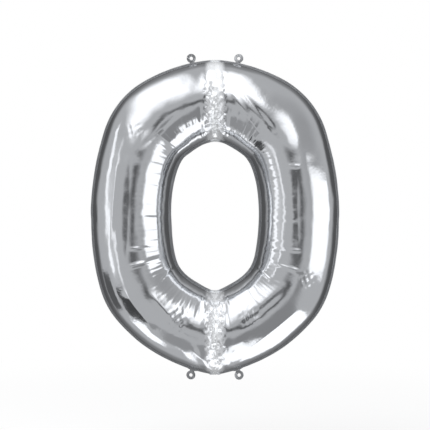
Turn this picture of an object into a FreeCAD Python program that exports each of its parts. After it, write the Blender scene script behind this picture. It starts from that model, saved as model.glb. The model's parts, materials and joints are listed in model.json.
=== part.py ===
"""Foil number balloon, the numeral zero, inflated: two film panels welded into a closed ring of tube.

Frame, in millimetres: +X right, +Y away from the front, +Z up. The balloon lies in the XZ plane.
The origin is the middle of the hanging line, which joins the holes of the two top tabs.
Each ring body is drawn about the ring's own centre and placed below the origin.
"""
import FreeCAD, Part
import math
import os
import Sketcher

os.makedirs("parts", exist_ok=True)
doc = FreeCAD.newDocument("foil_number_balloon")
vector = FreeCAD.Vector

# ---------------------------------------------------------------- driving dimensions
# The ring's centreline is a chain of tangent arcs on each side, from mid height up to the crown
# and down to the lower tip. Turns are in degrees.
DIMENSIONS = {
    "ringHalfWidth": 230.0,
    "topSideRadius": 620.0,
    "topSideTurn": 18.0,
    "topShoulderRadius": 160.0,
    "topShoulderTurn": 43.0,
    "topCrownRadius": 310.0,
    "topCrownTurn": 31.0,
    "bottomSideRadius": 690.0,
    "bottomSideTurn": 10.0,
    "bottomShoulderRadius": 220.0,
    "bottomShoulderTurn": 28.0,
    "bottomTipRadius": 283.0,
    "bottomTipTurn": 50.0,
    "tubeRadius": 103.0,
    "filmThickness": 1.0,
    "seamWidth": 6.0,
    "seamThickness": 1.2,
    "seamLap": 1.5,
    "inletWidth": 20.0,
    "inletHeight": 0.5,
    "trimSide": 1200.0,
    "hingeGap": 1.0,
    "tabSpread": 62.0,
    "tabReach": 13.5,
    "tabRingRadius": 12.5,
    "tabHoleRadius": 4.5,
    "tabNeckWidth": 13.0,
    "tabThickness": 1.0,
    "tailWidth": 30.0,
    "tailLength": 42.0,
    "tailFilm": 0.6,
    "tailFold": 86.0,
    "valveWidth": 34.0,
    "valveLength": 130.0,
    "valveFilm": 0.5,
    "valveHalfGap": 0.25,
    "valveSetback": 11.6,
}

sheet = doc.addObject("Spreadsheet::Sheet", "Sizes")
for row, (alias, number) in enumerate(DIMENSIONS.items(), start=1):
    sheet.set(f"A{row}", alias)
    sheet.set(f"B{row}", str(number))
    sheet.setAlias(f"B{row}", alias)
doc.recompute()


def size(alias):
    """The value of one named cell."""
    return float(sheet.get(alias))


# ---------------------------------------------------------------- where the seam runs
def tip_arc(end):
    """Centre (x, z) and radius of the arc that the centreline ends with at the top or the bottom."""
    last = {"top": "Crown", "bottom": "Tip"}[end]
    x = size("ringHalfWidth")
    z = 0.0
    turned = 0.0
    for stretch in ("Side", "Shoulder"):
        radius = size(f"{end}{stretch}Radius")
        start = math.radians(turned)
        turned += size(f"{end}{stretch}Turn")
        stop = math.radians(turned)
        x -= radius * (math.cos(start) - math.cos(stop))
        z += radius * (math.sin(stop) - math.sin(start))
    radius = size(f"{end}{last}Radius")
    x -= radius * math.cos(math.radians(turned))
    z -= radius * math.sin(math.radians(turned))
    return x, z, radius


def seam_edge(end, x):
    """Height above the ring's centre (a depth at the bottom) and lean in degrees of the seam's edge at x."""
    centre_x, centre_z, radius = tip_arc(end)
    radius += size("tubeRadius") + size("seamWidth")
    rise = math.sqrt(radius**2 - (x - centre_x) ** 2)
    return centre_z + rise, math.degrees(math.atan2(x - centre_x, rise))


TAB_SPREAD = size("tabSpread")
TOP_HEIGHT, TOP_LEAN = seam_edge("top", TAB_SPREAD)
BOTTOM_DEPTH, BOTTOM_LEAN = seam_edge("bottom", TAB_SPREAD)
TIP_DEPTH = seam_edge("bottom", 0.0)[0]
HOLE_REACH = size("hingeGap") + size("tabReach")
RING_DROP = TOP_HEIGHT + (size("hingeGap") + HOLE_REACH) * math.cos(math.radians(TOP_LEAN))


# ---------------------------------------------------------------- drawing helpers
def origin_plane(body, role):
    """The body's own origin plane with the given role."""
    return next(feature for feature in body.Origin.OriginFeatures if feature.Role == role)


def new_body(label):
    body = doc.addObject("PartDesign::Body", label)
    body.Label = label
    return body


def new_sketch(body, name, role):
    sketch = body.newObject("Sketcher::SketchObject", name)
    sketch.AttachmentSupport = (origin_plane(body, role), [""])
    sketch.MapMode = "FlatFace"
    return sketch


def bind(sketch, kind, *where, to):
    """Add a dimension to a sketch, with its present value, and bind it to a formula of the sheet's cells."""
    value = sheet_value(to)
    if kind == "Angle":
        value = math.radians(value)
    index = sketch.addConstraint(Sketcher.Constraint(kind, *where, value))
    formula = f"({to}) * 1 deg" if kind == "Angle" else to
    sketch.setExpression(f"Constraints[{index}]", formula)


def sheet_value(formula):
    """The number that a formula of the sheet's cells gives now."""
    for alias in sorted(DIMENSIONS, key=len, reverse=True):
        formula = formula.replace(f"Sizes.{alias}", str(size(alias)))
    return float(FreeCAD.Units.Quantity(formula).Value)


def add_arc(sketch, centre, radius, start, stop):
    """An arc of a sketch, with its two angles in degrees."""
    circle = Part.Circle(vector(centre[0], centre[1], 0), vector(0, 0, 1), radius)
    return sketch.addGeometry(Part.ArcOfCircle(circle, math.radians(start), math.radians(stop)), False)


def add_line(sketch, start, stop):
    return sketch.addGeometry(Part.LineSegment(vector(*start, 0), vector(*stop, 0)), False)


START, END, CENTRE = 1, 2, 3
X_AXIS, Y_AXIS = -1, -2


def add_centreline(body, end):
    """Half of the ring's centreline: three tangent arcs from mid height to just past the plane x = 0."""
    sketch = new_sketch(body, f"{body.Label}_{end}_line", "XZ_Plane")
    up = 1 if end == "top" else -1
    last = {"top": "Crown", "bottom": "Tip"}[end]
    x = size("ringHalfWidth")
    z = 0.0
    turned = 0.0
    arcs = []
    for stretch in ("Side", "Shoulder", last):
        radius = size(f"{end}{stretch}Radius")
        start = math.radians(turned)
        centre = (x - radius * math.cos(start), z - radius * math.sin(start))
        turned += size(f"{end}{stretch}Turn")
        stop = math.radians(turned)
        first, second = sorted((math.degrees(start) * up, math.degrees(stop) * up))
        arcs.append(add_arc(sketch, (centre[0], centre[1] * up), radius, first, second))
        x = centre[0] + radius * math.cos(stop)
        z = centre[1] + radius * math.sin(stop)
    near, far = (START, END) if up > 0 else (END, START)
    sketch.addConstraint(Sketcher.Constraint("PointOnObject", arcs[0], near, X_AXIS))
    sketch.addConstraint(Sketcher.Constraint("PointOnObject", arcs[0], CENTRE, X_AXIS))
    bind(sketch, "DistanceX", X_AXIS, START, arcs[0], near, to="Sizes.ringHalfWidth")
    sketch.addConstraint(Sketcher.Constraint("Tangent", arcs[0], far, arcs[1], near))
    sketch.addConstraint(Sketcher.Constraint("Tangent", arcs[1], far, arcs[2], near))
    for arc, stretch in zip(arcs, ("Side", "Shoulder", last)):
        bind(sketch, "Radius", arc, to=f"Sizes.{end}{stretch}Radius")
        bind(sketch, "Angle", arc, to=f"Sizes.{end}{stretch}Turn")
    return sketch


def half_tube_profile(body, side):
    """Section of one panel at mid height: half an annulus, in front (side -1) or behind (side 1)."""
    sketch = new_sketch(body, f"{body.Label}_section", "XY_Plane")
    middle = size("ringHalfWidth")
    lap = size("seamThickness") / 2
    arcs = []
    for radius in (size("tubeRadius"), size("tubeRadius") - size("filmThickness")):
        lean = math.degrees(math.asin(lap / radius))
        first, second = (lean, 180 - lean) if side > 0 else (180 + lean, 360 - lean)
        arcs.append(add_arc(sketch, (middle, 0), radius, first, second))
    outer, inner = arcs
    ends = []
    for arc in arcs:
        curve = sketch.Geometry[arc]
        ends.append((curve.StartPoint, curve.EndPoint))
    lines = []
    for which in (0, 1):
        start = (ends[0][which].x, ends[0][which].y)
        stop = (ends[1][which].x, ends[1][which].y)
        lines.append(add_line(sketch, start, stop))
    for line, point in zip(lines, (START, END)):
        sketch.addConstraint(Sketcher.Constraint("Coincident", line, START, outer, point))
        sketch.addConstraint(Sketcher.Constraint("Coincident", line, END, inner, point))
        sketch.addConstraint(Sketcher.Constraint("Horizontal", line))
    sketch.addConstraint(Sketcher.Constraint("Coincident", outer, CENTRE, inner, CENTRE))
    sketch.addConstraint(Sketcher.Constraint("PointOnObject", outer, CENTRE, X_AXIS))
    bind(sketch, "DistanceX", X_AXIS, START, outer, CENTRE, to="Sizes.ringHalfWidth")
    bind(sketch, "Radius", outer, to="Sizes.tubeRadius")
    bind(sketch, "Radius", inner, to="Sizes.tubeRadius - Sizes.filmThickness")
    first, second = ((X_AXIS, START), (outer, START)) if side > 0 else ((outer, START), (X_AXIS, START))
    bind(sketch, "DistanceY", *first, *second, to="Sizes.seamThickness / 2")
    sketch.addConstraint(Sketcher.Constraint("Equal", lines[0], lines[1]))
    return sketch


def rectangle(sketch, low, high):
    """A rectangle with its low corner bound to x, y and its high corner bound to x, y, all formulas."""
    x0, y0 = (sheet_value(formula) for formula in low)
    x1, y1 = (sheet_value(formula) for formula in high)
    corners = [(x0, y0), (x1, y0), (x1, y1), (x0, y1)]
    lines = [add_line(sketch, corners[i], corners[(i + 1) % 4]) for i in range(4)]
    for i in range(4):
        sketch.addConstraint(Sketcher.Constraint("Coincident", lines[i], END, lines[(i + 1) % 4], START))
        sketch.addConstraint(Sketcher.Constraint("Horizontal" if i % 2 == 0 else "Vertical", lines[i]))
    for kind, line, formula in (
        ("DistanceX", lines[0], low[0]),
        ("DistanceY", lines[0], low[1]),
        ("DistanceX", lines[2], high[0]),
        ("DistanceY", lines[2], high[1]),
    ):
        bind(sketch, kind, line, START, to=formula)


def sweep_ring(body, profile):
    """Sweep a section up and down the centreline, trim it at the plane x = 0 and mirror it."""
    for end in ("top", "bottom"):
        pipe = body.newObject("PartDesign::AdditivePipe", f"{body.Label}_{end}_sweep")
        pipe.Profile = profile
        pipe.Spine = add_centreline(body, end)
        body.Tip = pipe
        doc.recompute()
    swept = body.Shape.Volume
    trim_sketch = new_sketch(body, f"{body.Label}_trim_outline", "XZ_Plane")
    rectangle(trim_sketch, ("-Sizes.trimSide", "-Sizes.trimSide / 2"), ("0", "Sizes.trimSide / 2"))
    trim = body.newObject("PartDesign::Pocket", f"{body.Label}_trim")
    trim.Profile = trim_sketch
    trim.SideType = "Symmetric"
    trim.setExpression("Length", "Sizes.trimSide")
    body.Tip = trim
    doc.recompute()
    kept = body.Shape.Volume
    if not 0.5 * swept < kept < swept:
        raise RuntimeError(f"{body.Label}: the trim at x = 0 cut {swept - kept:.0f} of {swept:.0f} mm3")
    mirror = body.newObject("PartDesign::Mirrored", f"{body.Label}_mirror")
    mirror.TransformMode = "Whole shape"
    mirror.MirrorPlane = (origin_plane(body, "YZ_Plane"), [""])
    body.Tip = mirror
    doc.recompute()
    if abs(body.Shape.Volume - 2 * kept) > 1e-3 * kept:
        raise RuntimeError(f"{body.Label}: the mirrored half is missing")


def pad(body, name, sketch, thickness):
    """Pad a sketch by a formula, half to each side of its plane."""
    feature = body.newObject("PartDesign::Pad", name)
    feature.Profile = sketch
    feature.SideType = "Symmetric"
    feature.setExpression("Length", thickness)
    body.Tip = feature
    return feature


def pocket(body, name, sketch, depth):
    """Cut a sketch through, by a formula, half to each side of its plane."""
    doc.recompute()
    before = body.Shape.Volume
    feature = body.newObject("PartDesign::Pocket", name)
    feature.Profile = sketch
    feature.SideType = "Symmetric"
    feature.setExpression("Length", depth)
    body.Tip = feature
    doc.recompute()
    if body.Shape.Volume > before - 1e-3:
        raise RuntimeError(f"{name} cuts nothing")
    return feature


# ---------------------------------------------------------------- the closed ring of tube
def place(body, x, z, turn=(0, 0, 1), degrees=0.0, y=0.0):
    """Put a body at a point of the ring, given from the ring's centre."""
    body.Placement = FreeCAD.Placement(vector(x, y, z - RING_DROP), FreeCAD.Rotation(vector(*turn), degrees))


def panel(label, side):
    """One film panel, blown out to half of the tube, with its edges on the welded seams."""
    body = new_body(label)
    sweep_ring(body, half_tube_profile(body, side))
    place(body, 0, 0)
    return body


def seam(label, side):
    """The flat double margin of film along the outside (side 1) or the hole (side -1) of the ring."""
    body = new_body(label)
    section = new_sketch(body, f"{label}_section", "XY_Plane")
    root = "(Sizes.tubeRadius - Sizes.seamLap)"
    edge = "(Sizes.tubeRadius + Sizes.seamWidth)"
    low, high = (root, edge) if side > 0 else (f"-{edge}", f"-{root}")
    half = "Sizes.seamThickness / 2"
    rectangle(section, (f"Sizes.ringHalfWidth + {low}", f"-{half}"), (f"Sizes.ringHalfWidth + {high}", half))
    sweep_ring(body, section)
    place(body, 0, 0)
    return body


front_panel = panel("front_panel", -1)
back_panel = panel("back_panel", 1)
outer_seam = seam("outer_seam", 1)
inner_seam = seam("inner_seam", -1)

# The gas inlet is an unwelded slot through the outer seam at the lower tip.
inlet = new_sketch(outer_seam, "inlet_outline", "XY_Plane")
rectangle(
    inlet,
    ("-Sizes.inletWidth / 2", "-Sizes.inletHeight / 2"),
    ("Sizes.inletWidth / 2", "Sizes.inletHeight / 2"),
)
whole_seam = outer_seam.Shape.Volume
inlet_cut = outer_seam.newObject("PartDesign::Pocket", "inlet_slot")
inlet_cut.Profile = inlet
inlet_cut.setExpression("Length", "Sizes.trimSide")
outer_seam.Tip = inlet_cut
doc.recompute()
slot = size("inletWidth") * size("inletHeight") * (size("seamWidth") + size("seamLap"))
if not 0.9 * slot < whole_seam - outer_seam.Shape.Volume < 1.1 * slot:
    raise RuntimeError("the inlet slot isn't cut at the lower tip alone")


# ---------------------------------------------------------------- hanging tabs
def hanging_tab(label, end, side):
    """A ring of film on a short neck, drawn with its fold line along X and its ring above it."""
    body = new_body(label)
    neck = new_sketch(body, f"{label}_neck_outline", "XZ_Plane")
    rectangle(
        neck,
        ("-Sizes.tabNeckWidth / 2", "Sizes.hingeGap"),
        ("Sizes.tabNeckWidth / 2", "Sizes.hingeGap + Sizes.tabReach"),
    )
    pad(body, f"{label}_neck", neck, "Sizes.tabThickness")
    for name, radius, cut in (("ring", "tabRingRadius", False), ("hole", "tabHoleRadius", True)):
        outline = new_sketch(body, f"{label}_{name}_outline", "XZ_Plane")
        height = "Sizes.hingeGap + Sizes.tabReach"
        circle = Part.Circle(vector(0, HOLE_REACH, 0), vector(0, 0, 1), size(radius))
        index = outline.addGeometry(circle, False)
        outline.addConstraint(Sketcher.Constraint("PointOnObject", index, CENTRE, Y_AXIS))
        bind(outline, "DistanceY", X_AXIS, START, index, CENTRE, to=height)
        bind(outline, "Radius", index, to=f"Sizes.{radius}")
        if cut:
            pocket(body, f"{label}_{name}", outline, "Sizes.tabThickness * 2")
        else:
            pad(body, f"{label}_{name}", outline, "Sizes.tabThickness")
    if end == "top":
        edge, lean = TOP_HEIGHT, side * TOP_LEAN
    else:
        edge, lean = -BOTTOM_DEPTH, 180 - side * BOTTOM_LEAN
    gap = size("hingeGap")
    across = math.sin(math.radians(lean)) * gap
    along = math.cos(math.radians(lean)) * gap
    place(body, side * TAB_SPREAD + across, edge + along, (0, 1, 0), lean)
    return body


tabs = []
for end in ("top", "bottom"):
    for hand, side in (("left", -1), ("right", 1)):
        tabs.append(hanging_tab(f"hanging_tab_{end}_{hand}", end, side))


# ---------------------------------------------------------------- fill tail and valve
def strip(label, width, low, high, near, far):
    """A flat strip of film across X: its low and high edges in Z and its near and far faces in Y."""
    body = new_body(label)
    outline = new_sketch(body, f"{label}_outline", "XZ_Plane")
    rectangle(outline, (f"-{width} / 2", low), (f"{width} / 2", high))
    film = body.newObject("PartDesign::Pad", f"{label}_film")
    film.Profile = outline
    film.UseCustomVector = True
    film.Direction = vector(0, 1, 0)
    film.setExpression("Length", f"{far} - {near}")
    body.Tip = film
    outline.setExpression("AttachmentOffset.Base.z", f"-({near})")
    return body


tail_low = "-(Sizes.hingeGap + Sizes.tailLength)"
tail_front = strip("fill_tail_front", "Sizes.tailWidth", tail_low, "-Sizes.hingeGap", "-Sizes.tailFilm", "0")
tail_back = strip("fill_tail_back", "Sizes.tailWidth", tail_low, "-Sizes.hingeGap", "0", "Sizes.tailFilm")
for film in (tail_front, tail_back):
    place(film, 0, -TIP_DEPTH - size("hingeGap"), (1, 0, 0), size("tailFold"))

leaf_far = "Sizes.valveHalfGap + Sizes.valveFilm"
valve_front = strip(
    "valve_film_front", "Sizes.valveWidth", "0", "Sizes.valveLength", f"-({leaf_far})", "-Sizes.valveHalfGap"
)
valve_back = strip(
    "valve_film_back", "Sizes.valveWidth", "0", "Sizes.valveLength", "Sizes.valveHalfGap", f"({leaf_far})"
)
for film in (valve_front, valve_back):
    place(film, 0, -TIP_DEPTH + size("valveSetback"))

# ---------------------------------------------------------------- checks and export
doc.recompute()
failed = [item.Name for item in doc.Objects if {"Invalid", "Error"} & set(item.State)]
if failed:
    raise RuntimeError(f"these objects failed: {failed}")
bodies = [front_panel, back_panel, outer_seam, inner_seam]
bodies += tabs
bodies += [tail_front, tail_back, valve_front, valve_back]
for body in bodies:
    shape = body.Shape
    if shape.isNull() or not shape.isValid() or len(shape.Solids) != 1:
        raise RuntimeError(f"{body.Label} is not one valid solid")
for body in bodies:
    body.Shape.exportStep(f"parts/{body.Label}.step")
    box = body.Shape.BoundBox
    low = ", ".join(f"{value:.2f}" for value in (box.XMin, box.YMin, box.ZMin))
    high = ", ".join(f"{value:.2f}" for value in (box.XMax, box.YMax, box.ZMax))
    print(f"{body.Label}: {body.Shape.Volume:.1f} mm3, from {low} to {high}")
print(f"ring centre at {-RING_DROP:.4f}, lower tip at {-TIP_DEPTH - RING_DROP:.4f}")
print(f"top tabs: seam edge at {TOP_HEIGHT - RING_DROP:.4f}, lean {TOP_LEAN:.4f}")
print(f"bottom tabs: seam edge at {-BOTTOM_DEPTH - RING_DROP:.4f}, lean {BOTTOM_LEAN:.4f}")
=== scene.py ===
"""Silver foil numeral zero: creased mirror film blown tight, welded seams, ring tabs, tail and valve.

Metres, in the part's own frame: +X right, +Y away from the camera, +Z up.
"""
import json
import math

import bpy
import numpy as np
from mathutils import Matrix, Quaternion, Vector


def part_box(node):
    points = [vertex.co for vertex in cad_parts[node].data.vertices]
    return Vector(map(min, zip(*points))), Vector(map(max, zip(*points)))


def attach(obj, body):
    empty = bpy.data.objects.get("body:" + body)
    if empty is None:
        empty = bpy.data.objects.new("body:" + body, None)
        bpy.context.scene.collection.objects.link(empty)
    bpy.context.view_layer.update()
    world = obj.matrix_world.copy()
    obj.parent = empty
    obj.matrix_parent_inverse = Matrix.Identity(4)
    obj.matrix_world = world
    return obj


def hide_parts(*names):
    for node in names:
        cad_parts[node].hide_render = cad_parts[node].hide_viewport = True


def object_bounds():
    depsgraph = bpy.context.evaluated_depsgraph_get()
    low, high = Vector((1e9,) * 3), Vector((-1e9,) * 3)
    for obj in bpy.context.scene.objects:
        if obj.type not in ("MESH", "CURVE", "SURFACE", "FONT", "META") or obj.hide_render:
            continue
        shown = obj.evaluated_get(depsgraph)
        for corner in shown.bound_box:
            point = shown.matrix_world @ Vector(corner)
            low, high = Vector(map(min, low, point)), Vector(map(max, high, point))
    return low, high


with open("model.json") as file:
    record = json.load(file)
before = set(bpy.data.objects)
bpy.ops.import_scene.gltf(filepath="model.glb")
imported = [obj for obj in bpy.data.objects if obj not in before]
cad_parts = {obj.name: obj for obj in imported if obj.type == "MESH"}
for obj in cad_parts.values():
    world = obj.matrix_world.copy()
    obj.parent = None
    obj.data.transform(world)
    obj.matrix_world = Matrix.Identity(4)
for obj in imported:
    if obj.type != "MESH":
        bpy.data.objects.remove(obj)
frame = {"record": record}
cad_low, cad_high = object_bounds()
JOINTS = {joint["name"]: joint for joint in frame["record"]["behaviour"]["joints"]}
MOUNTS = {mount["name"]: mount for mount in frame["record"]["mounts"]}

# ---------------------------------------------------------------- the ring's shape
# The centreline is a chain of tangent arcs (radius, turn in degrees) from mid height to each tip.
HALF_WIDTH = 0.230
ARCS = {
    "top": ((0.620, 18.0), (0.160, 43.0), (0.310, 31.0)),
    "bottom": ((0.690, 10.0), (0.220, 28.0), (0.283, 50.0)),
}
TUBE_RADIUS = 0.103
SEAM_WIDTH = 0.006
OUTER_EDGE = TUBE_RADIUS + SEAM_WIDTH
SECTION_SUM = 2.02  # half width and half depth of the tube's section together, in tube radii
SHARPEST = 12  # waves round the hole that its rounded edge keeps
TIP_CROWDING = 0.09  # crowds the columns together near the tips; 0 would space them evenly
CREST = 90  # where round the section the front is highest, in degrees from the outer seam
# From the share TIP_FROM of the way from mid height to a tip, and over the share TIP_SPAN after it, the
# columns swing round so that the last one lies on x = 0.
TIP_FROM, TIP_SPAN = 0.45, 0.55


def tip_arc(end):
    """Centre (x, z) of the last arc of the centreline, and its radius, with z measured upward or downward."""
    x, z, turned = HALF_WIDTH, 0.0, 0.0
    for radius, turn in ARCS[end][:-1]:
        start, stop = math.radians(turned), math.radians(turned + turn)
        x -= radius * (math.cos(start) - math.cos(stop))
        z += radius * (math.sin(stop) - math.sin(start))
        turned += turn
    radius = ARCS[end][-1][0]
    return x - radius * math.cos(math.radians(turned)), z - radius * math.sin(math.radians(turned)), radius


def tip_height(end, offset):
    """How far from the ring's centre a line at this offset from the centreline crosses x = 0."""
    x, z, radius = tip_arc(end)
    return z + math.sqrt((radius + offset) ** 2 - x**2)


RING_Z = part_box("outer_seam")[0][2] + tip_height("bottom", OUTER_EDGE)


def centre_at(end, angle):
    """Points of the centreline where its outward normal stands at these angles above the horizontal."""
    x = np.full_like(angle, HALF_WIDTH)
    z = np.zeros_like(angle)
    turned = 0.0
    for index, (radius, turn) in enumerate(ARCS[end]):
        last = index == len(ARCS[end]) - 1
        low = math.radians(turned)
        high = math.inf if last else math.radians(turned + turn)
        reach = np.clip(angle, low, high)
        x -= radius * (math.cos(low) - np.cos(reach))
        z += radius * (np.sin(reach) - math.sin(low))
        turned += turn
    return x, z


def bump(value, low, high):
    """A smooth hump: 0 outside low..high and 1 in the middle."""
    inside = np.clip((value - low) / (high - low), 0, 1)
    return np.sin(np.pi * inside) ** 2


def smooth(value):
    """A soft step: 0 up to 0, 1 from 1 on."""
    value = np.clip(value, 0, 1)
    return value * value * (3 - 2 * value)


def between(value, low, rise, high, fall):
    """1 between low + rise and high - fall, going softly to 0 at low and at high."""
    return smooth((value - low) / rise) * smooth((high - value) / fall)


def quadrant(end, along, around):
    """Right-hand quarter of the plain blown-up ring.

    along runs from 0 at mid height to 1 at the tip; around is the section's angle, 0 at the outer
    seam, 90 degrees at the front crest and 180 at the hole.
    """
    breaks_length, breaks_angle = [0.0], [0.0]
    centre_x, _, tip_radius = tip_arc(end)
    tip_angle = math.acos(-centre_x / tip_radius)
    for index, (radius, turn) in enumerate(ARCS[end]):
        last = index == len(ARCS[end]) - 1
        stop = tip_angle if last else breaks_angle[-1] + math.radians(turn)
        breaks_length.append(breaks_length[-1] + radius * (stop - breaks_angle[-1]))
        breaks_angle.append(stop)
    angle = np.interp(along * breaks_length[-1], breaks_length, breaks_angle)
    # The tube is fuller at the shoulders, and its inner half reaches further into the hole's corners.
    degrees = np.degrees(angle)
    if end == "top":
        outer = TUBE_RADIUS + 0.002 + 0.004 * bump(degrees, 5, 75)
        inner = TUBE_RADIUS - 0.001 + 0.014 * bump(degrees, 8, 88) + 0.003 * smooth((degrees - 70) / 15)
    else:
        outer = TUBE_RADIUS + 0.001 + 0.004 * bump(degrees, 12, 50) - 0.003 * bump(degrees, 45, 85)
        inner = TUBE_RADIUS + 0.001 + 0.006 * smooth((degrees - 35) / 30)
    angle, outer, inner = angle[:, None], outer[:, None], inner[:, None]
    offset = (outer + inner) / 2 * np.cos(around) + (outer - inner) / 2
    depth = (SECTION_SUM * TUBE_RADIUS - (outer + inner) / 2) * np.sin(around)
    shift = np.arccos(-centre_x / (tip_radius + offset)) - tip_angle
    angle = angle + smooth((along[:, None] - TIP_FROM) / TIP_SPAN) * shift
    x, z = centre_at(end, angle)
    return np.stack([x + offset * np.cos(angle), -depth + 0 * x, z + offset * np.sin(angle)], -1)


def plain_ring(columns, rows):
    """The whole ring as a closed grid: columns run up the right side and round, rows round the tube."""
    around = (np.arange(rows) * 2 * np.pi / rows)[None, :]
    quarter = columns // 4
    along = np.arange(quarter + 1) / quarter
    along = along * (1 + TIP_CROWDING) - TIP_CROWDING * along**8
    top = quadrant("top", along, around)
    bottom = quadrant("bottom", along, around) * [1, 1, -1]
    flip = np.array([-1, 1, 1])
    parts = [top[:-1], (top * flip)[:0:-1], (bottom * flip)[:-1], bottom[:0:-1]]
    ring = np.concatenate(parts)
    ring[..., 2] += RING_Z
    return rounded(ring, smooth((angle_from_seam(rows) - CREST) / 60))


def rounded(points, weight):
    """Take the corners out of the lines along the ring, where weight is 1."""
    waves = np.fft.fft(points, axis=0)
    turns = np.abs(np.fft.fftfreq(len(points)) * len(points))[:, None, None]
    calm = np.fft.ifft(waves * np.exp(-((turns / SHARPEST) ** 4)), axis=0).real
    return points + weight[..., None] * (calm - points)


# ---------------------------------------------------------------- blowing up the film
# Each level doubles the grid. blow and jitter are moves in metres, fine the share of the small excess.
LEVELS = (
    {"columns": 128, "rows": 48, "steps": 90, "blow": 1.2e-4, "jitter": 2e-4, "fine": 0.15},
    {"columns": 256, "rows": 96, "steps": 130, "blow": 4e-5, "jitter": 2e-4, "fine": 0.3},
    {"columns": 512, "rows": 192, "steps": 260, "blow": 1.5e-5, "jitter": 2e-4, "fine": 1.0},
)
MOMENTUM = 0.92  # the share of its last move that a point repeats
ALONG_PULL, SHEAR_PULL = 1.0, 0.7  # how far a bond goes to its cut length in one pass
STIFFNESS = 0.25
SEAM_HOLD = 0.6  # the share of its distance from the seams' plane that a seam point keeps in a step
SHAPE_EVERY = 5  # steps between two pulls back to the plain ring
SHAPE_PULL = 0.5
SHAPE_WAVES = (16, 3)  # the slow waves, along and round, that are pulled back


def film_excess(ring, fine):
    """How much longer the film is cut than the plain ring, along it and round it, as fractions."""
    columns, rows, _ = ring.shape
    from_seam = angle_from_seam(rows)
    x = np.abs(ring[..., 0])
    calm = 1 - 0.55 * toward_tips(ring[..., 2] - RING_Z)
    random = np.random.default_rng(11)
    patches = smooth_noise(random, (columns, rows), (48, 10)) * 0.5 + 0.5
    inner_wall = between(from_seam, 92, 16, 156, 18)
    pucker = smooth((22 - from_seam) / 16)
    kink = smooth((0.040 - x) / 0.014) * smooth((from_seam - 14) / 30) * smooth((172 - from_seam) / 20)
    along = fine * inner_wall * calm * (0.005 + 0.016 * patches)
    along += 0.012 * pucker
    along += kink * (0.012 + 0.05 * patches)
    across = 0.02 * kink + 0.003 * inner_wall
    return along, across


def toward_tips(z):
    """0 along the ring's sides, rising to 1 where it turns towards its tips."""
    return smooth((np.abs(z) - 0.10) / 0.06)


def angle_from_seam(rows):
    """Degrees round the tube from the outer seam, 0 to 180, as a row."""
    around = np.arange(rows) * 360.0 / rows
    return np.minimum(around, 360 - around)[None, :]


def smooth_noise(random, shape, cells):
    """Seeded noise on the closed grid, from -1 to 1, with about cells[0] by cells[1] hills."""
    columns, rows = shape
    u = np.arange(columns) / columns * cells[0]
    v = np.arange(rows) / rows * cells[1]
    values = random.uniform(-1, 1, cells)
    i, j = u.astype(int), v.astype(int)
    fu, fv = smooth(u - i)[:, None], smooth(v - j)[None, :]
    i1, j1 = (i + 1) % cells[0], (j + 1) % cells[1]
    near = values[i][:, j] * (1 - fv) + values[i][:, j1] * fv
    far = values[i1][:, j] * (1 - fv) + values[i1][:, j1] * fv
    return near * (1 - fu) + far * fu


def rest_lengths(ring, along, across):
    """Cut lengths of the film between neighbours: along the ring, round the tube and on both diagonals."""
    u = (np.roll(ring, -1, 0) - ring) * (1 + along)[..., None]
    v = (np.roll(ring, -1, 1) - ring) * (1 + across)[..., None]
    v_next = np.roll(v, -1, 0)
    u_next = np.roll(u, -1, 1)
    rising = 0.5 * (u + v_next) + 0.5 * (v + u_next)
    falling = 0.5 * (u - v) + 0.5 * (u_next - v_next)
    return [np.linalg.norm(e, axis=-1).astype(np.float32) for e in (u, v, rising, falling)]


def pull(first, second, rest, strength):
    """Move pairs of points towards their cut distance."""
    gap = second - first
    length = np.sqrt(np.einsum("ijk,ijk->ij", gap, gap))
    gap *= ((0.5 * strength) * (1 - rest / np.maximum(length, 1e-9)))[..., None]
    first += gap
    second -= gap


def relax(points, rest, strength, shear):
    """One pass over every bond of the grid, in sets that share no point."""
    along, across, rising, falling = rest
    for shift in (0, 1):
        points = np.roll(points, -shift, 0)
        straight, up, down = (np.roll(r, -shift, 0)[0::2] for r in (along, rising, falling))
        even, odd = points[0::2], points[1::2]
        pull(even, odd, straight, strength)
        turned = np.roll(odd, -1, 1)
        pull(even, turned, up, shear)
        odd[:] = np.roll(turned, 1, 1)
        lifted = np.roll(even, -1, 1)
        pull(lifted, odd, down, shear)
        even[:] = np.roll(lifted, 1, 1)
        points = np.roll(points, shift, 0)
    for shift in (0, 1):
        points = np.roll(points, -shift, 1)
        pull(points[:, 0::2], points[:, 1::2], np.roll(across, -shift, 1)[:, 0::2], strength)
        points = np.roll(points, shift, 1)
    return points


def outward(points):
    """Unit normals of the closed grid, pointing out of the tube."""
    u = np.roll(points, -1, 0) - np.roll(points, 1, 0)
    v = np.roll(points, -1, 1) - np.roll(points, 1, 1)
    normal = np.cross(u, v)
    return normal / np.maximum(np.linalg.norm(normal, axis=-1, keepdims=True), 1e-12)


def low_pass(field, keep_u, keep_v):
    """The slow part of a field on the closed grid: waves of up to keep_u and keep_v turns."""
    waves = np.fft.fft2(field, axes=(0, 1))
    u = np.abs(np.fft.fftfreq(field.shape[0]) * field.shape[0])[:, None, None]
    v = np.abs(np.fft.fftfreq(field.shape[1]) * field.shape[1])[None, :, None]
    waves *= np.exp(-((u / keep_u) ** 2) - (v / keep_v) ** 2)
    return np.fft.ifft2(waves, axes=(0, 1)).real.astype(np.float32)


def stiffen(points, amount):
    """Take out the sharpest zigzags, as the film's stiffness does."""
    for axis in (0, 1):
        bend = np.roll(points, 1, axis) + np.roll(points, -1, axis) - 2 * points
        points = points - amount / 16 * (np.roll(bend, 1, axis) + np.roll(bend, -1, axis) - 2 * bend)
    return points


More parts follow.
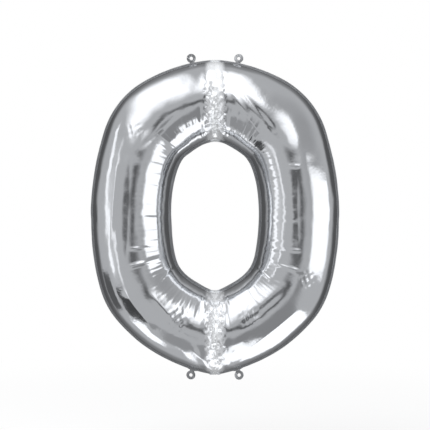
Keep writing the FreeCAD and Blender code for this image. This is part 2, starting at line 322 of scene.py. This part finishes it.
def blown_film():
    """The creased ring: the cut film, blown up between its two seams until it settles."""
    random = np.random.default_rng(5)
    points = None
    levels = LEVELS
    for level in levels:
        columns, rows = level["columns"], level["rows"]
        ring = plain_ring(columns, rows).astype(np.float32)
        along, across = film_excess(ring, level["fine"])
        rest = rest_lengths(ring, along.astype(np.float32), across.astype(np.float32))
        if points is None:
            points = ring.copy()
        else:
            points = finer(points)
        points += (random.uniform(-1, 1, ring.shape) * level["jitter"]).astype(np.float32)
        speed = np.zeros_like(points)
        for step in range(level["steps"]):
            before = points.copy()
            points = points + MOMENTUM * speed + level["blow"] * outward(points)
            points = relax(points, rest, ALONG_PULL, SHEAR_PULL)
            points = relax(points, rest, ALONG_PULL, SHEAR_PULL)
            points = stiffen(points, STIFFNESS)
            points[:, 0, 1] *= SEAM_HOLD
            points[:, rows // 2, 1] *= SEAM_HOLD
            speed = points - before
            if (step + 1) % SHAPE_EVERY == 0:
                points -= SHAPE_PULL * low_pass(points - ring, *SHAPE_WAVES)
    return creased(points, ring)


# Heights and spacings of the wrinkles across the inner wall, and of other small shapes, in metres.
COARSE_HEIGHT, COARSE_SPACING = 0.00032, 0.021
FINE_HEIGHT, FINE_SPACING = 0.00020, 0.0125
GROOVE_DEPTH = 0.0055
PATCH_HEIGHT = 0.00042
COLUMN_HEIGHT, COLUMN_SWELLING = 0.00085, 0.0012
UNEVENNESS = ((0.00045, (44, 18)), (0.00022, (96, 30)))  # height, and how many hills along and round


def creased(points, ring):
    """The settled film with a smooth hole edge, slow unevenness, crumpled tips and its long creases."""
    columns, rows, _ = points.shape
    shape = (columns, rows)
    random = np.random.default_rng(7)
    from_seam = angle_from_seam(rows)
    points = rounded(points, smooth((from_seam - 146) / 16))
    x = ring[..., 0]
    z = ring[..., 2] - RING_Z
    lift = np.zeros(shape)
    for height, hills in UNEVENNESS:
        lift += height * smooth_noise(random, shape, hills)
    wander = smooth_noise(random, shape, (60, 12))
    strength = smooth_noise(random, shape, (70, 14)) * 0.5 + 0.5
    strength = strength * np.where(x > 0, 2.0, 1.0)
    length = np.cumsum(np.linalg.norm(np.roll(points, -1, 0) - points, axis=-1).mean(1))[:, None]
    inner_wall = between(from_seam, 96, 12, 152, 14) * (1 - 0.5 * toward_tips(z))
    lift += COARSE_HEIGHT * inner_wall * strength * zigzag(length / COARSE_SPACING + 0.35 * wander)
    lift += FINE_HEIGHT * inner_wall * zigzag(length / FINE_SPACING + 0.5 * wander)
    lift += tip_columns(np.abs(x), z, from_seam)
    in_front = ring[..., 1] < 0.01
    lift += in_front * (crease_height(x, z) + patch_height(x, z, wander, strength))
    taut = between(from_seam, 0, 14, 176, 20)
    return (points + (lift * taut)[..., None] * outward(points)).astype(np.float32)


def tip_columns(aside, z, from_seam):
    """How far the crumpled columns lift the film: facets, a swelling, and a groove down the middle."""
    half_width = column_half_width(z, from_seam)
    inside = smooth((half_width - aside) / 0.006)
    facets = zigzag(aside / 0.023 + 0.3) + zigzag((z + 0.8 * aside) / 0.027)
    facets += zigzag((z - 0.9 * aside) / 0.022 + 0.4) + 0.7 * zigzag((z + 0.25 * aside) / 0.016)
    height = np.where(z > 0, COLUMN_HEIGHT * smooth((from_seam - 55) / 30) + 0.00015, COLUMN_HEIGHT)
    groove = np.clip(1 - aside / half_width, 0, 1)
    lift = inside * height * facets + COLUMN_SWELLING * inside
    return lift - GROOVE_DEPTH * groove * smooth(from_seam / 40)


def patch_height(x, z, wander, strength):
    """How far the small facets of the crumpled patches lift the film."""
    facets = zigzag((x + 0.4 * z) / 0.016 + 0.5 * wander) + zigzag((z - 0.5 * x) / 0.019 + 0.4 * strength)
    facets += zigzag((x - 1.1 * z) / 0.023)
    return PATCH_HEIGHT * facets * in_patches(x, z)


def zigzag(turns):
    """A wave of straight slopes and sharp ridges, from -1 to 1."""
    return 4 * np.abs(turns - np.floor(turns) - 0.5) - 1


def column_half_width(z, from_seam):
    """Half the width of the crumpled column at a tip, narrow at the outer seam."""
    narrow = 0.007
    wide = np.where(z > 0, 0.031, 0.027)
    return narrow + (wide - narrow) * smooth((from_seam - 8) / 55)


# Long creases on the front: both ends (x, z) from the ring's centre, ridge height and half width.
CREASES = (
    (-0.226, 0.190, -0.238, -0.140, -0.0016, 0.016),
    (-0.262, 0.150, -0.285, -0.110, 0.0010, 0.012),
    (0.216, 0.150, 0.222, -0.130, -0.0016, 0.014),
    (-0.244, -0.137, -0.134, -0.106, 0.0022, 0.008),
    (0.150, -0.120, 0.236, -0.149, 0.0022, 0.008),
    (0.180, -0.088, 0.232, -0.090, 0.0016, 0.006),
    (0.190, 0.136, 0.232, 0.135, 0.0018, 0.006),
    (-0.236, -0.086, -0.170, -0.080, 0.0014, 0.005),
    (-0.150, -0.178, -0.112, -0.128, 0.0018, 0.006),
    (0.112, -0.130, 0.150, -0.172, 0.0018, 0.006),
    (0.036, 0.345, 0.132, 0.205, 0.0014, 0.010),
    (0.062, 0.348, 0.170, 0.215, -0.0014, 0.011),
    (-0.085, 0.290, -0.206, 0.176, -0.0012, 0.012),
    (-0.244, -0.195, -0.160, -0.305, 0.0026, 0.024),
    (-0.182, -0.190, -0.066, -0.328, 0.0018, 0.014),
    (0.262, -0.215, 0.040, -0.395, 0.0022, 0.022),
    (0.190, -0.190, 0.060, -0.300, -0.0016, 0.014),
    (-0.075, -0.335, -0.004, -0.420, 0.0016, 0.016),
    (0.055, -0.352, 0.004, -0.420, 0.0014, 0.014),
)

# Crumpled patches on the front: middle (x, z) from the ring's centre, and radius.
PATCHES = (
    (-0.098, -0.275, 0.046),
    (0.092, -0.262, 0.038),
    (0.244, -0.165, 0.030),
    (-0.216, 0.232, 0.030),
)


def in_patches(x, z):
    """1 in the middle of a crumpled patch, 0 outside them all."""
    inside = np.zeros_like(x)
    for middle_x, middle_z, radius in PATCHES:
        distance = np.hypot(x - middle_x, z - middle_z)
        inside = np.maximum(inside, smooth((radius - distance) / (0.6 * radius)))
    return inside


def crease_height(x, z):
    """How far the long creases lift the film, in metres."""
    total = np.zeros_like(x)
    for x1, z1, x2, z2, height, width in CREASES:
        dx, dz = x2 - x1, z2 - z1
        length = math.hypot(dx, dz)
        share = ((x - x1) * dx + (z - z1) * dz) / length**2
        aside = np.abs((x - x1) * dz - (z - z1) * dx) / length
        taper = smooth(share * 4) * smooth((1 - share) * 4)
        total += height * np.clip(1 - aside / width, 0, 1) ** 1.4 * taper
    return total


def finer(points):
    """The closed grid with twice the columns and rows."""
    for axis in (0, 1):
        middle = 0.5 * (points + np.roll(points, -1, axis))
        points = np.stack([points, middle], axis + 1)
        shape = list(points.shape)
        shape[axis : axis + 2] = [shape[axis] * 2]
        points = points.reshape(shape)
    return np.ascontiguousarray(points)


# ---------------------------------------------------------------- meshes
def mesh_piece(name, points, faces, smooth_faces=True):
    """An object with a mesh of these points and faces."""
    mesh = bpy.data.meshes.new(name)
    mesh.from_pydata(np.asarray(points, float).tolist(), [], faces)
    mesh.polygons.foreach_set("use_smooth", [smooth_faces] * len(mesh.polygons))
    mesh.update()
    piece = bpy.data.objects.new(name, mesh)
    bpy.context.collection.objects.link(piece)
    return piece


def grid_piece(name, points, closed_across=False):
    """A surface from a grid of points that is closed along its first axis, and may be along its second."""
    columns, rows, _ = points.shape
    strips = rows if closed_across else rows - 1
    u, v = np.meshgrid(np.arange(columns), np.arange(strips), indexing="ij")
    u1, v1 = (u + 1) % columns, (v + 1) % rows
    corners = [u * rows + v, u1 * rows + v, u1 * rows + v1, u * rows + v1]
    faces = np.stack(corners, -1).reshape(-1, 4)
    return mesh_piece(name, points.reshape(-1, 3), faces.tolist())


# ---------------------------------------------------------------- materials
class Tree:
    """A short way to write shader nodes."""

    def __init__(self, owner):
        owner.use_nodes = True
        self.nodes = owner.node_tree.nodes
        self.links = owner.node_tree.links

    def node(self, kind, **settings):
        """A new node with these settings."""
        node = self.nodes.new(kind)
        for name, value in settings.items():
            setattr(node, name, value)
        return node

    def feed(self, socket, value):
        """Link a socket to another, or set it to a constant."""
        if isinstance(value, bpy.types.NodeSocket):
            self.links.new(value, socket)
        else:
            socket.default_value = value

    def math(self, operation, *values):
        """One step of arithmetic."""
        node = self.node("ShaderNodeMath", operation=operation)
        for socket, value in zip(node.inputs, values):
            self.feed(socket, value)
        return node.outputs[0]

    def dot(self, vector, direction):
        """How far a vector reaches in a fixed direction."""
        node = self.node("ShaderNodeVectorMath", operation="DOT_PRODUCT")
        self.feed(node.inputs[0], vector)
        self.feed(node.inputs[1], tuple(direction))
        return node.outputs["Value"]

    def ramp(self, value, low, high, start=0.0, stop=1.0):
        """Goes smoothly from start to stop as value goes from low to high."""
        node = self.node("ShaderNodeMapRange", interpolation_type="SMOOTHSTEP")
        names = ("Value", "From Min", "From Max", "To Min", "To Max")
        for name, given in zip(names, (value, low, high, start, stop)):
            self.feed(node.inputs[name], given)
        return node.outputs["Result"]

    def blend(self, amount, first, second):
        """first where amount is 0, second where it is 1."""
        node = self.node("ShaderNodeMix", data_type="FLOAT")
        self.feed(node.inputs["Factor"], amount)
        self.feed(node.inputs["A"], first)
        self.feed(node.inputs["B"], second)
        return node.outputs["Result"]

    def noise(self, place, scale, detail):
        """Soft cloudy noise, about 0.3 to 0.7."""
        node = self.node("ShaderNodeTexNoise")
        self.feed(node.inputs["Vector"], place)
        node.inputs["Scale"].default_value = scale
        node.inputs["Detail"].default_value = detail
        return node.outputs["Fac"]

    def tinted(self, level, red, green, blue):
        """A colour from one level and three constant factors."""
        node = self.node("ShaderNodeCombineColor")
        for channel, factor in (("Red", red), ("Green", green), ("Blue", blue)):
            self.feed(node.inputs[channel], self.math("MULTIPLY", level, factor))
        return node.outputs[0]

    def roughen(self, shader, height, strength, distance):
        """Bump the shader's surface by a height."""
        node = self.node("ShaderNodeBump")
        node.inputs["Strength"].default_value = strength
        node.inputs["Distance"].default_value = distance
        self.feed(node.inputs["Height"], height)
        self.feed(shader.inputs["Normal"], node.outputs["Normal"])


TIP_PAINTED_HIGHLIGHT = (0.007, 0.018)  # the painted highlight on the film's tips fades out between these distances from x = 0
TIP_DULL = (0.016, 0.030)  # and its scattering between these
FILM_TINT = (0.985, 1.0, 1.02)  # a slightly cool silver


def foil(name, roughness=0.08, crinkle=0.25, shine=0.88, tip_highlight=None, tip_scatter=0.0):
    """Metallised film: a mirror with fine crinkles, more scattering at the crumpled tips, and a painted
    highlight there that lifts the base colour.
    """
    material = bpy.data.materials.new(name)
    tree = Tree(material)
    shader = tree.nodes["Principled BSDF"]
    place = tree.node("ShaderNodeTexCoord").outputs["Object"]
    aside = tree.math("ABSOLUTE", tree.dot(place, (1, 0, 0)))
    # Painted highlight: near x = 0 the base colour is lifted from shine to a brighter level, standing in for
    # the bright reflections of the crumpled tips.
    level = tree.ramp(aside, *TIP_PAINTED_HIGHLIGHT, tip_highlight or shine, shine)
    tree.feed(shader.inputs["Base Color"], tree.tinted(level, *FILM_TINT))
    tree.feed(shader.inputs["Metallic"], tree.ramp(aside, *TIP_DULL, 1.0 - tip_scatter, 1.0))
    haze = tree.noise(place, 22.0, 3.0)
    tree.feed(shader.inputs["Roughness"], tree.ramp(haze, 0.35, 0.7, roughness, roughness * 1.9))
    folds = tree.node("ShaderNodeTexVoronoi", feature="DISTANCE_TO_EDGE")
    tree.feed(folds.inputs["Vector"], place)
    folds.inputs["Scale"].default_value = 85.0
    ridges = tree.math("MULTIPLY", folds.outputs["Distance"], 0.5)
    height = tree.math("ADD", ridges, tree.noise(place, 160.0, 2.0))
    tree.roughen(shader, height, crinkle, 0.0004)
    return material


def clear_film(name):
    """Soft clear polyethylene."""
    material = bpy.data.materials.new(name)
    tree = Tree(material)
    shader = tree.nodes["Principled BSDF"]
    shader.inputs["Base Color"].default_value = (0.86, 0.88, 0.90, 1)
    shader.inputs["Alpha"].default_value = 0.45
    shader.inputs["IOR"].default_value = 1.5
    cloud = tree.noise(tree.node("ShaderNodeTexCoord").outputs["Object"], 60.0, 2.0)
    tree.feed(shader.inputs["Roughness"], tree.ramp(cloud, 0.3, 0.7, 0.16, 0.34))
    tree.roughen(shader, cloud, 0.3, 0.0005)
    return material


# ---------------------------------------------------------------- the film panels
def dress(piece, body, nodes, material):
    """Give a piece its material and say which body it rides and which CAD nodes it replaces."""
    piece.data.materials.append(material)
    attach(piece, body)
    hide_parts(*nodes)


film = blown_film()
half = film.shape[1] // 2
# The panel film's tips carry a painted highlight: their base colour rises to white.
panel_film = foil("panel_film", tip_highlight=1.0, tip_scatter=0.42)
front = grid_piece("front_film", film[:, : half + 1])
back = grid_piece("back_film", np.concatenate([film[:, half:], film[:, :1]], 1))
for piece, node in ((front, "front_panel"), (back, "back_panel")):
    dress(piece, "balloon", [node], panel_film)


# ---------------------------------------------------------------- welded seams
PUCKERS = 150  # round the ring
PUCKER_HEIGHT = 0.0007
WELD_THICKNESS = 0.0003
TAB_CORNERS = ("top_left", "top_right", "bottom_left", "bottom_right")
TAB_START = 0.001  # how far outside its fold a tab begins
TAB_LAP = 0.0002  # how far the weld reaches past that
TAB_WIDENING = 0.003  # the most that the weld is widened to meet a tab
ROOT_REACH, ROOT_FADE = 0.016, 0.0055  # how far from its fold a tab's root ends, and how softly


def tab_fold(corner):
    """A tab's fold, the unit direction from there to its hole, and the distance."""
    fold = np.array(JOINTS[f"fold_tab_{corner}"]["pos_m"])
    hole = np.array(MOUNTS[f"tab_hole_{corner}"]["pos_m"])
    reach = np.linalg.norm(hole - fold)
    return fold, (hole - fold) / reach, reach


def tab_roots(line, sideways):
    """Where the outer weld lies flat to meet a tab, from 0 to 1, and how much wider it is there."""
    flat = np.zeros(len(line))
    wider = np.zeros(len(line))
    for corner in TAB_CORNERS:
        fold, up, _ = tab_fold(corner)
        near = smooth((ROOT_REACH - np.linalg.norm(line - fold, axis=1)) / ROOT_FADE)
        reach = ((fold + (TAB_START + TAB_LAP) * up - line) * sideways).sum(1)
        flat = np.maximum(flat, near)
        wider = np.maximum(wider, near * np.clip(reach - SEAM_WIDTH, 0, TAB_WIDENING))
    return flat, wider


def seam_band(name, line, inward, seed):
    """The flat welded margin beside a line of the film, finely puckered across its free edge."""
    random = np.random.default_rng(seed)
    count = len(line)
    along = np.roll(line, -1, 0) - np.roll(line, 1, 0)
    along[:, 1] = 0
    along /= np.linalg.norm(along, axis=1, keepdims=True)
    sideways = np.stack([along[:, 2], 0 * along[:, 0], -along[:, 0]], 1)
    if inward:
        sideways = -sideways
    waves = smooth_noise(random, (count, 2), (PUCKERS, 1))[:, 0]
    slow = smooth_noise(random, (count, 2), (PUCKERS // 4, 1))[:, 0]
    flat, wider = (0, 0) if inward else tab_roots(line, sideways)
    rings = []
    for share in (0.0, 0.35, 0.7, 1.0):
        lift = PUCKER_HEIGHT * (waves + 0.5 * slow) * share**1.3 * (1 - flat)
        width = share * (SEAM_WIDTH * (1 + 0.06 * slow * (1 - flat)) + wider)
        rings.append(line + sideways * width[:, None] + np.array([0, 1, 0]) * lift[:, None])
    outward_half = np.array([0, WELD_THICKNESS / 2, 0])
    loop = [r + outward_half for r in rings] + [r - outward_half for r in rings[::-1]]
    return grid_piece(name, np.stack(loop, 1), closed_across=True)


# The welds' base colour is darkened to 0.40 as painted shade, for the hole weld that lies in the ring's
# shade; the outer weld shares it. Their higher roughness is the welds' real duller finish. At the tips they
# also carry the painted highlight, up to white.
welded_film = foil("welded_film", roughness=0.3, crinkle=0.5, shine=0.40, tip_highlight=1.0)
for name, row, inward, seed in (("outer_weld", 0, False, 21), ("hole_weld", half, True, 22)):
    band = seam_band(name, film[:, row].astype(float), inward, seed)
    dress(band, "balloon", ["inner_seam" if inward else "outer_seam"], welded_film)


# ---------------------------------------------------------------- hanging tabs
TAB_RING = 0.0125  # outer radius
TAB_NECK = 0.0065  # half width
TAB_FILM = 0.00035  # thickness of the double film
TAB_SPOKES, TAB_HOOPS = 72, 7
TAB_CREASE = 0.0004


def hanging_tab(corner, curl, twist):
    """A ring of double film on a neck, with its punched hole, bent and twisted as film is."""
    fold, up, reach = tab_fold(corner)
    side = np.cross([0, 1, 0], up)
    hole_radius = MOUNTS[f"tab_hole_{corner}"]["dims"]["r_mm"] / 1000
    angle = np.arange(TAB_SPOKES) * 2 * np.pi / TAB_SPOKES
    neck_turn = np.arccos(-np.cos(angle))
    straight = (reach - TAB_START) / np.maximum(np.cos(neck_turn), 0.05)
    in_neck = np.abs(np.sin(angle)) * straight < TAB_NECK
    outline = np.where((np.cos(neck_turn) > 0.5) & in_neck, straight, TAB_RING)
    beside = TAB_NECK / np.maximum(np.abs(np.sin(angle)), 0.05)
    lower = (np.cos(neck_turn) > 0) & ~in_neck
    outline = np.where(lower, np.maximum(TAB_RING, np.minimum(beside, straight)), outline)
    share = np.linspace(0, 1, TAB_HOOPS)[:, None] ** 0.9
    radius = hole_radius + (outline - hole_radius)[None, :] * share
    a = radius * np.sin(angle)[None, :]
    b = radius * np.cos(angle)[None, :]
    height = b + reach
    bend = curl * np.clip(height, 0, None) ** 2 / reach
    lean = twist * a * np.clip(height / reach, 0, 1.4)
    crease = TAB_CREASE * np.sin(a * 900 + b * 500) * np.clip(height / reach - 0.3, 0, 1)
    middle = fold + a[..., None] * side + height[..., None] * up
    depth = bend + lean + crease
    faces_up = middle + np.array([0, 1, 0]) * (depth + TAB_FILM / 2)[..., None]
    faces_down = middle + np.array([0, 1, 0]) * (depth - TAB_FILM / 2)[..., None]
    loop = np.concatenate([faces_up, faces_down[::-1]], 0)
    return grid_piece(f"tab_ring_{corner}", loop.transpose(1, 0, 2), closed_across=True)


tab_film = foil("tab_film", roughness=0.16, crinkle=0.35, shine=0.5)
for corner, curl, twist in (
    ("top_left", -0.05, 0.20),
    ("top_right", 0.07, -0.22),
    ("bottom_left", 0.07, 0.18),
    ("bottom_right", -0.06, -0.20),
):
    ring = hanging_tab(corner, curl, twist)
    dress(ring, f"tab_{corner}", [f"hanging_tab_{corner}"], tab_film)


# ---------------------------------------------------------------- fill tail and valve
TAIL_START = 0.0003  # how far from its fold the tail begins
TAIL_SLOPE = 4.0  # degrees down from level, folded back behind the tip
TAIL_THICKNESS = 0.0004
TAIL_APART = 0.00035  # from the middle plane between the two tail films to each


def film_strip(name, corner, across, down, wave, thickness, seed, bulge):
    """A thin strip of film from its top corner, with edges across and down, rippled by wave and bulging."""
    random = np.random.default_rng(seed)
    n, m = 24, 32
    s, t = np.meshgrid(np.linspace(0, 1, n), np.linspace(0, 1, m), indexing="ij")
    normal = np.cross(across, down)
    normal /= np.linalg.norm(normal)
    ripple = smooth_noise(random, (n, m), (4, 5)) * wave * np.sin(np.pi * s) ** 0.5 * smooth(t * 3)
    belly = bulge * np.sin(np.pi * s) * smooth((t - 0.3) / 0.7)
    middle = corner + s[..., None] * across + t[..., None] * down
    sides = [middle + normal * (ripple + belly + sign * thickness / 2)[..., None] for sign in (1, -1)]
    points = np.concatenate([side.reshape(-1, 3) for side in sides])
    faces = []
    back = n * m
    for i in range(n - 1):
        for j in range(m - 1):
            a, b, c, d = i * m + j, (i + 1) * m + j, (i + 1) * m + j + 1, i * m + j + 1
            faces.append((a, b, c, d))
            faces.append((back + d, back + c, back + b, back + a))
    rim = [i * m for i in range(n)] + [(n - 1) * m + j for j in range(1, m)]
    rim += [i * m + m - 1 for i in range(n - 2, -1, -1)] + [j for j in range(m - 2, 0, -1)]
    for first, second in zip(rim, rim[1:] + rim[:1]):
        faces.append((second, first, back + first, back + second))
    return mesh_piece(name, points, faces)


def box_strip(node, body, material, name, seed, wave, bulge=0.0):
    """A strip of film where the CAD node lies: upright in its box, or folded back from the tail's fold."""
    low, high = (np.array(c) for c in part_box(node))
    middle = (low + high) / 2
    width = np.array([high[0] - low[0], 0, 0])
    if high[2] - low[2] > high[1] - low[1]:
        corner = np.array([low[0], middle[1], high[2]])
        down = np.array([0, 0, low[2] - high[2]])
        thickness = (high[1] - low[1]) * 0.8
    else:
        fold = np.array(JOINTS["fold_fill_tail"]["pos_m"])
        slope = math.radians(TAIL_SLOPE)
        out = np.array([0, math.cos(slope), -math.sin(slope)])
        rise = np.array([0, math.sin(slope), math.cos(slope)])
        level = TAIL_APART if node.endswith("back") else -TAIL_APART
        corner = fold + out * TAIL_START + rise * level + np.array([low[0], 0, 0])
        down = out * ((high[1] - low[1]) / math.cos(slope) - TAIL_START)
        thickness = TAIL_THICKNESS
    strip = film_strip(name, corner, width, down, wave, thickness, seed, bulge)
    dress(strip, body, [node], material)


tail_film = foil("tail_film", roughness=0.14, crinkle=0.4)
valve_clear = clear_film("valve_film")
box_strip("fill_tail_front", "fill_tail", tail_film, "tail_front_film", 31, 0.0001, -0.0011)
box_strip("fill_tail_back", "fill_tail", tail_film, "tail_back_film", 32, 0.0001, 0.0011)
box_strip("valve_film_front", "valve_front_leaf", valve_clear, "valve_front_clear", 33, 0.00004)
box_strip("valve_film_back", "valve_back_leaf", valve_clear, "valve_back_clear", 34, 0.00004)

# ---------------------------------------------------------------- studio
ring_centre = Vector((0, 0, RING_Z))


def from_behind(turn, swing):
    """A direction in the studio: swing is its angle from +Y, turn its angle round Y from +X towards +Z."""
    turn, swing = math.radians(turn), math.radians(swing)
    return Vector((math.sin(swing) * math.cos(turn), math.cos(swing), math.sin(swing) * math.sin(turn)))


ROOM_TINT = (0.985, 0.995, 1.02)

# The panels that the film reflects, each over those before it:
# turn, swing, half sizes across the turn and along the swing in degrees, tilt, soft edge, brightness
PANELS = (
    (30, 122, 20, 30, 0, 0.8, 0.34),
    (180, 114, 16, 10, 0, 0.8, 0.62),
    (248, 122, 8, 15, 0, 0.2, 0.30),
    (302, 136, 17, 24, 0, 0.25, 0.25),
    (121, 112, 15, 38, 0, 0.50, 1.3),
    (77, 124, 12, 38, 10, 0.35, 1.3),
    (-3, 110, 14, 30, 0, 0.16, 1.2),
    (172, 100, 26, 5, 32, 0.10, 1.1),
    (180, 129, 20, 3, 8, 0.40, 0.95),
    (233, 90, 8, 10, 0, 0.06, 1.2),
    (264, 80, 11, 26, 14, 0.08, 1.25),
    (283, 104, 8, 30, 0, 0.08, 1.2),
    (304, 92, 17, 30, 0, 0.05, 1.25),
    (217, 111, 11, 12, -15, 0.06, 0.06),
    (205, 75, 10, 14, 0, 0.06, 0.10),
    (0, 180, 4.5, 14, 0, 0.8, 0.11),
)


def studio_world():
    """White to the camera, and round the object a grey room with bright panels, dark behind it."""
    world = bpy.data.worlds.new("studio")
    bpy.context.scene.world = world
    tree = Tree(world)
    toward = tree.node("ShaderNodeTexCoord").outputs["Generated"]
    up = tree.dot(toward, (0, 0, 1))
    behind = tree.dot(toward, (0, 1, 0))
    level = tree.ramp(up, -0.35, 0.4, 0.46, 0.45)
    rear = tree.ramp(tree.math("ABSOLUTE", up), 0.25, 0.85, 0.09, 0.26)
    level = tree.blend(tree.ramp(behind, 0.36, 0.64), level, rear)
    level = tree.blend(tree.ramp(behind, 0.94, 0.98), level, 0.55)
    for turn, swing, half_turn, half_swing, tilt, edge, brightness in PANELS:
        middle = from_behind(turn, swing)
        along = Quaternion(middle, math.radians(tilt)) @ from_behind(turn, swing + 90)
        across = middle.cross(along)
        depth = tree.math("MAXIMUM", tree.dot(toward, middle), 0.001)
        mask = 1.0
        for axis, half_angle in ((across, half_turn), (along, half_swing)):
            reach = tree.math("ABSOLUTE", tree.math("DIVIDE", tree.dot(toward, axis), depth))
            size = math.tan(math.radians(half_angle))
            mask = tree.math("MULTIPLY", mask, tree.ramp(reach, size * (1 + edge), size * (1 - edge)))
        level = tree.blend(mask, level, brightness)
    room = tree.nodes["Background"]
    tree.feed(room.inputs["Color"], tree.tinted(level, *ROOM_TINT))
    white = tree.node("ShaderNodeBackground")
    white.inputs["Color"].default_value = (1, 1, 1, 1)
    seen = tree.node("ShaderNodeMixShader")
    tree.feed(seen.inputs["Fac"], tree.node("ShaderNodeLightPath").outputs["Is Camera Ray"])
    tree.feed(seen.inputs[1], room.outputs[0])
    tree.feed(seen.inputs[2], white.outputs[0])
    tree.feed(tree.nodes["World Output"].inputs["Surface"], seen.outputs[0])


def pale_floor():
    """A pale floor a little below the balloon, fading into the white round about."""
    drop, reach = 0.22, 6.0  # below the balloon, and half the floor's side
    fade_from, fade_to = 0.9, 2.6  # distances from the middle
    z = cad_low[2] - drop
    corners = [(-reach, -reach, z), (reach, -reach, z), (reach, reach, z), (-reach, reach, z)]
    floor = mesh_piece("floor", corners, [(0, 1, 2, 3)], smooth_faces=False)
    floor.visible_glossy = False
    material = bpy.data.materials.new("pale_floor")
    tree = Tree(material)
    place = tree.node("ShaderNodeTexCoord").outputs["Object"]
    distance = tree.node("ShaderNodeVectorMath", operation="LENGTH")
    tree.feed(distance.inputs[0], place)
    glow = tree.node("ShaderNodeEmission")
    glow.inputs["Color"].default_value = (1, 1, 1, 1)
    mix = tree.node("ShaderNodeMixShader")
    tree.feed(mix.inputs["Fac"], tree.ramp(distance.outputs["Value"], fade_from, fade_to, 0.75, 1.0))
    diffuse = tree.nodes["Principled BSDF"]
    diffuse.inputs["Base Color"].default_value = (0.92, 0.92, 0.92, 1)
    diffuse.inputs["Roughness"].default_value = 0.9
    tree.feed(mix.inputs[1], diffuse.outputs[0])
    tree.feed(mix.inputs[2], glow.outputs[0])
    tree.feed(tree.nodes["Material Output"].inputs["Surface"], mix.outputs[0])
    floor.data.materials.append(material)


def camera():
    """Looking along +Y at the middle of the ring, from far enough back for a long lens."""
    lens, sensor = 100.0, 36.0  # millimetres
    shown, above = 1.182, 0.0055  # metres across the picture, and above the ring's middle
    data = bpy.data.cameras.new("camera")
    data.lens = lens
    data.sensor_width = sensor
    viewer = bpy.data.objects.new("camera", data)
    viewer.location = ring_centre + Vector((0, -shown * lens / sensor, above))
    viewer.rotation_euler = (math.pi / 2, 0, 0)
    bpy.context.collection.objects.link(viewer)
    bpy.context.scene.camera = viewer


def key_light():
    """One soft lamp from the upper left, for the floor and the films' edges."""
    data = bpy.data.lights.new("soft_lamp", "AREA")
    data.shape = "RECTANGLE"
    data.size, data.size_y = 1.6, 1.2
    data.energy = 55  # watts
    lamp = bpy.data.objects.new("soft_lamp", data)
    lamp.location = ring_centre + Vector((-0.8, -0.7, 2.2))
    lamp.rotation_euler = (ring_centre - lamp.location).to_track_quat("-Z", "Y").to_euler()
    lamp.visible_glossy = False
    bpy.context.collection.objects.link(lamp)


studio_world()
pale_floor()
camera()
key_light()
bpy.context.scene.view_settings.view_transform = "Standard"
